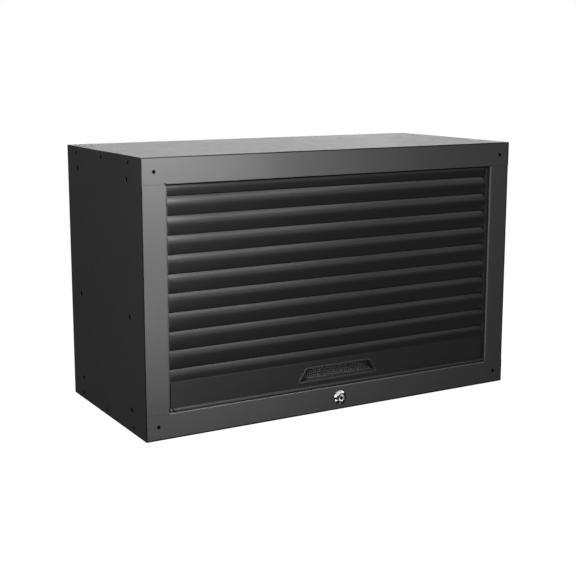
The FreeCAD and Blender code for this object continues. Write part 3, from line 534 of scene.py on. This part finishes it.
def camera_like_the_photograph():
    """The camera that was fitted to the case's corners in the 576-pixel frame."""
    frame_pixels = 576
    focal_pixels = 1131.24
    middle_pixels = (286.57, 264.57)
    azimuth, elevation, roll = 30.10, 10.016, 0.05
    place = (-0.9668, -1.6489, 0.5532)
    data = bpy.data.cameras.new("photo_camera")
    data.sensor_width = 36
    data.lens = focal_pixels * data.sensor_width / frame_pixels
    data.shift_x = 0.5 - middle_pixels[0] / frame_pixels
    data.shift_y = middle_pixels[1] / frame_pixels - 0.5
    camera = bpy.data.objects.new("photo_camera", data)
    scene.collection.objects.link(camera)
    turn = (Matrix.Rotation(math.radians(-azimuth), 4, "Z")
            @ Matrix.Rotation(math.radians(90 - elevation), 4, "X")
            @ Matrix.Rotation(math.radians(roll), 4, "Z"))
    camera.matrix_world = Matrix.Translation(place) @ turn
    scene.camera = camera


def area_light(name, place, target, size, power):
    """A soft box that looks at a target."""
    data = bpy.data.lights.new(name, "AREA")
    data.shape = "RECTANGLE"
    data.size, data.size_y = size
    data.energy = power
    light = bpy.data.objects.new(name, data)
    scene.collection.objects.link(light)
    way = Vector(target) - Vector(place)
    turn = way.to_track_quat("-Z", "Y").to_matrix().to_4x4()
    light.matrix_world = Matrix.Translation(place) @ turn


def seen_or_lit(tree, seen, lit):
    """A strength that is one number where the eye sees it and another as a light."""
    path = tree.nodes.new("ShaderNodeLightPath")
    choice = tree.nodes.new("ShaderNodeMix")
    choice.inputs["A"].default_value = lit
    choice.inputs["B"].default_value = seen
    tree.links.new(path.outputs["Is Camera Ray"], choice.inputs["Factor"])
    return choice.outputs["Result"]


def around(azimuth, elevation, distance, rise):
    """A place as seen from the object: azimuth 0 is in front, 90 to the right."""
    turn, up = math.radians(azimuth), math.radians(elevation)
    return (distance * math.sin(turn) * math.cos(up),
            -distance * math.cos(turn) * math.cos(up), rise + distance * math.sin(up))


# Where the soft boxes look, how large they are, and what each one gives. Places and powers
# were fitted to the photograph's grey levels by a scratch program and rounded.
curtain = (-0.2, front, 0.25)
front_middle = (0, front, 0.25)
top_middle = (0, 0, height)
lamp, soft_box, far_box, wide_box = (0.08, 0.08), (0.35, 0.35), (0.6, 0.6), (1.8, 0.6)
far_distance, far_rise, back_distance = 2.0, 0.2, 2.5
soft_boxes = [
    ("near_low", (-0.34, -0.42, 0.15), curtain, lamp, 0.7),
    ("near_high", (-0.28, -0.42, 0.5), curtain, lamp, 2.8),
    ("near_left", (-0.4, -0.6, 0.6), curtain, lamp, 4.1),
    ("box_close", (0.25, -0.45, 0.8), curtain, soft_box, 0.61),
    ("box_middle", (0.5, -1.3, 1.1), curtain, soft_box, 1.6),
    ("box_right", (1.1, -0.9, 1.1), curtain, soft_box, 0.47),
    ("box_far_right", (1.1, -1.3, 0.8), curtain, soft_box, 0.38),
    ("far_front", around(20, 15, far_distance, far_rise), front_middle, far_box, 1.1),
    ("far_back", around(250, 60, far_distance, far_rise), front_middle, far_box, 18),
    ("back_low", around(160, 12, back_distance, height), top_middle, wide_box, 23),
    ("back_high", around(120, 22, back_distance, height), top_middle, wide_box, 27),
]


def studio():
    """A sky and floor that look white but light less, and soft boxes round the object."""
    sky_light, floor_light, floor_half = 0.138, 0.124, 6
    world = bpy.data.worlds.new("studio")
    world.use_nodes = True
    tree = world.node_tree
    sky = tree.nodes["Background"]
    sky.inputs["Color"].default_value = (1, 1, 1, 1)
    tree.links.new(seen_or_lit(tree, 1, sky_light), sky.inputs["Strength"])
    scene.world = world
    mesh = bpy.data.meshes.new("floor")
    mesh.from_pydata([(-floor_half, -floor_half, 0), (floor_half, -floor_half, 0),
                      (floor_half, floor_half, 0), (-floor_half, floor_half, 0)],
                     [], [(0, 1, 2, 3)])
    floor = bpy.data.objects.new("floor", mesh)
    scene.collection.objects.link(floor)
    material, tree, shader = node_material("pale_floor")
    shader.inputs["Base Color"].default_value = (0.03, 0.03, 0.03, 1)
    shader.inputs["Roughness"].default_value = 0.9
    shader.inputs["Specular IOR Level"].default_value = 0
    shader.inputs["Emission Color"].default_value = (1, 1, 1, 1)
    tree.links.new(seen_or_lit(tree, 1, floor_light), shader.inputs["Emission Strength"])
    mesh.materials.append(material)
    for name, place, target, size, power in soft_boxes:
        area_light(name, place, target, size, power)


dress_cad_nodes()
cup_mesh()
camera_like_the_photograph()
studio()
